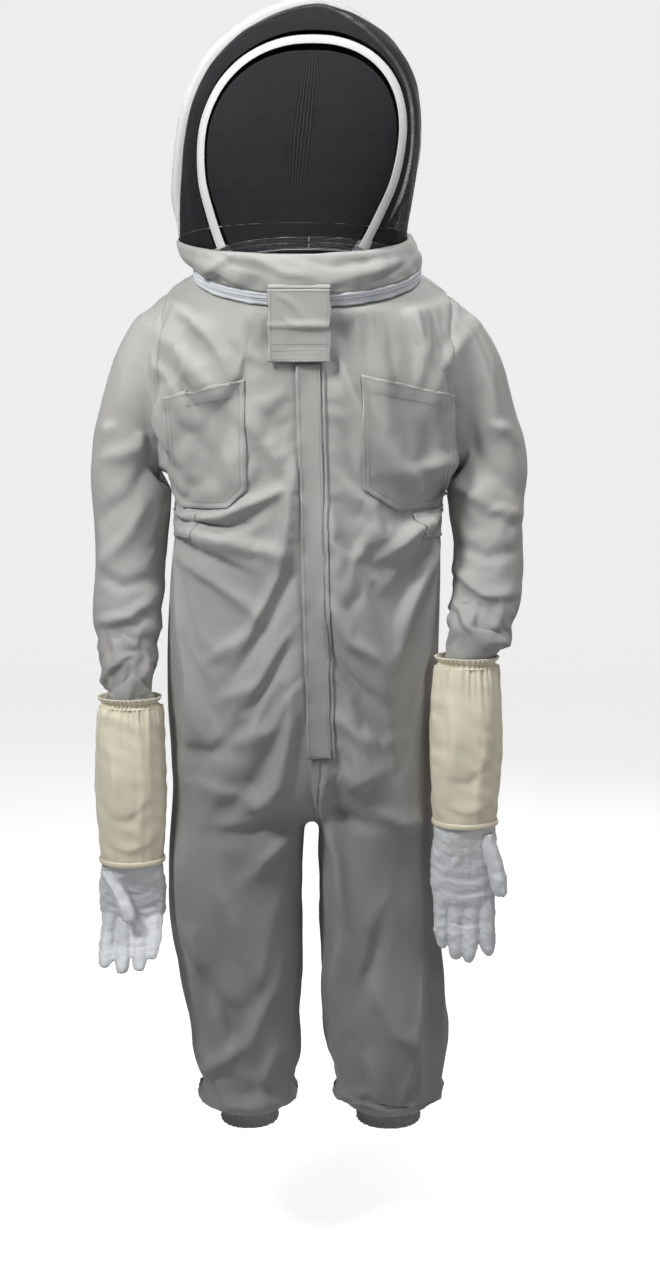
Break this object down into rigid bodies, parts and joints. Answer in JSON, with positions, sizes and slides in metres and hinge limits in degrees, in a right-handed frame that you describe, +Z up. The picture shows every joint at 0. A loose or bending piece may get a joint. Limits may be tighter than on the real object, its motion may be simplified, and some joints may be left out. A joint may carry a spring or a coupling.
{
  "type": "beekeeping suit",
  "caption": "One-piece coverall with a zip-on hooped veil hood, throat flap, patch pockets and long canvas and leather gauntlet gloves.",
  "frame": {"origin": "middle of the neck opening at the height of the wearer's shoulders, where the suit is held up", "axes": "+Z up, -Y the suit's front, +X to the right seen from the front"},
  "size_m": [0.6434, 0.3393, 1.6893],
  "materials": {
    "twill": "warm grey cotton and polyester twill, slight sheen",
    "trim": "gathered elastic casing in the suit's cloth",
    "tape": "white woven zip tape with moulded teeth",
    "steel": "plain zip slider",
    "hook": "hook-and-loop patch",
    "hoop": "white tape casing over a sprung hoop",
    "veil": "black fine see-through mesh",
    "canvas": "cream cotton canvas",
    "leather": "soft pale goat leather"
  },
  "bodies": {
    "suit": {"front_panel_left": "twill", "front_panel_right": "twill", "back_panel": "twill", "seat_left": "twill", "seat_right": "twill", "sleeve_left": "twill", "wrist_cuff_left": "trim", "sleeve_right": "twill", "wrist_cuff_right": "trim", "waist_elastic": "trim", "ankle_hem_left": "trim", "ankle_hem_right": "trim", "chest_pocket_left": "twill", "chest_pocket_right": "twill", "main_zip_tape_left": "tape", "main_zip_tape_right": "tape", "main_zip_stop": "steel", "placket_base": "trim", "neck_zip_suit_left": "tape", "neck_zip_suit_right": "tape", "loop_patch_left": "hook", "loop_patch_right": "hook"},
    "hood": {"neck_zip_hood_left": "tape", "neck_zip_hood_right": "tape", "hoop_front": "hoop", "hoop_crown": "hoop", "veil_front": "veil", "veil_gusset": "veil", "hood_back": "twill", "collar_band": "twill", "flap_base": "twill"},
    "throat_flap": {"throat_flap": "twill", "flap_hook_patch": "hook"},
    "placket": {"placket": "twill"},
    "main_slider": {"main_zip_slider": "steel", "main_zip_pull": "steel"},
    "neck_slider_left": {"neck_slider_left": "steel", "neck_pull_left": "steel"},
    "neck_slider_right": {"neck_slider_right": "steel", "neck_pull_right": "steel"},
    "glove_left": {"gauntlet_left": "canvas", "gauntlet_elastic_left": "canvas", "wrist_binding_left": "canvas", "thumb_left": "leather", "glove_front_left": "leather", "glove_back_left": "leather"},
    "glove_right": {"gauntlet_right": "canvas", "gauntlet_elastic_right": "canvas", "wrist_binding_right": "canvas", "thumb_right": "leather", "glove_front_right": "leather", "glove_back_right": "leather"}
  },
  "joints": [
    {"name": "hood_fold", "type": "hinge", "parent": "suit", "child": "hood", "pos_m": [0, 0.166, 0.129], "axis": [-1, 0, 0], "range_deg": [0, 120]},
    {"name": "throat_flap_lift", "type": "hinge", "parent": "hood", "child": "throat_flap", "pos_m": [-0.0095, -0.1684, 0.04], "axis": [-1, 0, 0], "range_deg": [0, 110]},
    {"name": "placket_open", "type": "hinge", "parent": "suit", "child": "placket", "pos_m": [0.0187, -0.1562, -0.0605], "axis": [-0.0279, 0, 0.9996], "range_deg": [0, 140]},
    {"name": "main_zip_slide", "type": "slide", "parent": "suit", "child": "main_slider", "axis": [0.0279, 0, -0.9996], "range_m": [0, 0.59]},
    {"name": "neck_zip_slide_left", "type": "hinge", "parent": "suit", "child": "neck_slider_left", "pos_m": [0, 0, 0.075], "axis": [0, 0.309, -0.9511], "range_deg": [0, 158]},
    {"name": "neck_zip_slide_right", "type": "hinge", "parent": "suit", "child": "neck_slider_right", "pos_m": [0, 0, 0.075], "axis": [0, -0.309, 0.9511], "range_deg": [0, 158]},
    {"name": "glove_pull_left", "type": "slide", "parent": "suit", "child": "glove_left", "axis": [0, 0, -1], "range_m": [0, 0.3]},
    {"name": "glove_pull_right", "type": "slide", "parent": "suit", "child": "glove_right", "axis": [0, 0, -1], "range_m": [0, 0.3]}
  ]
}
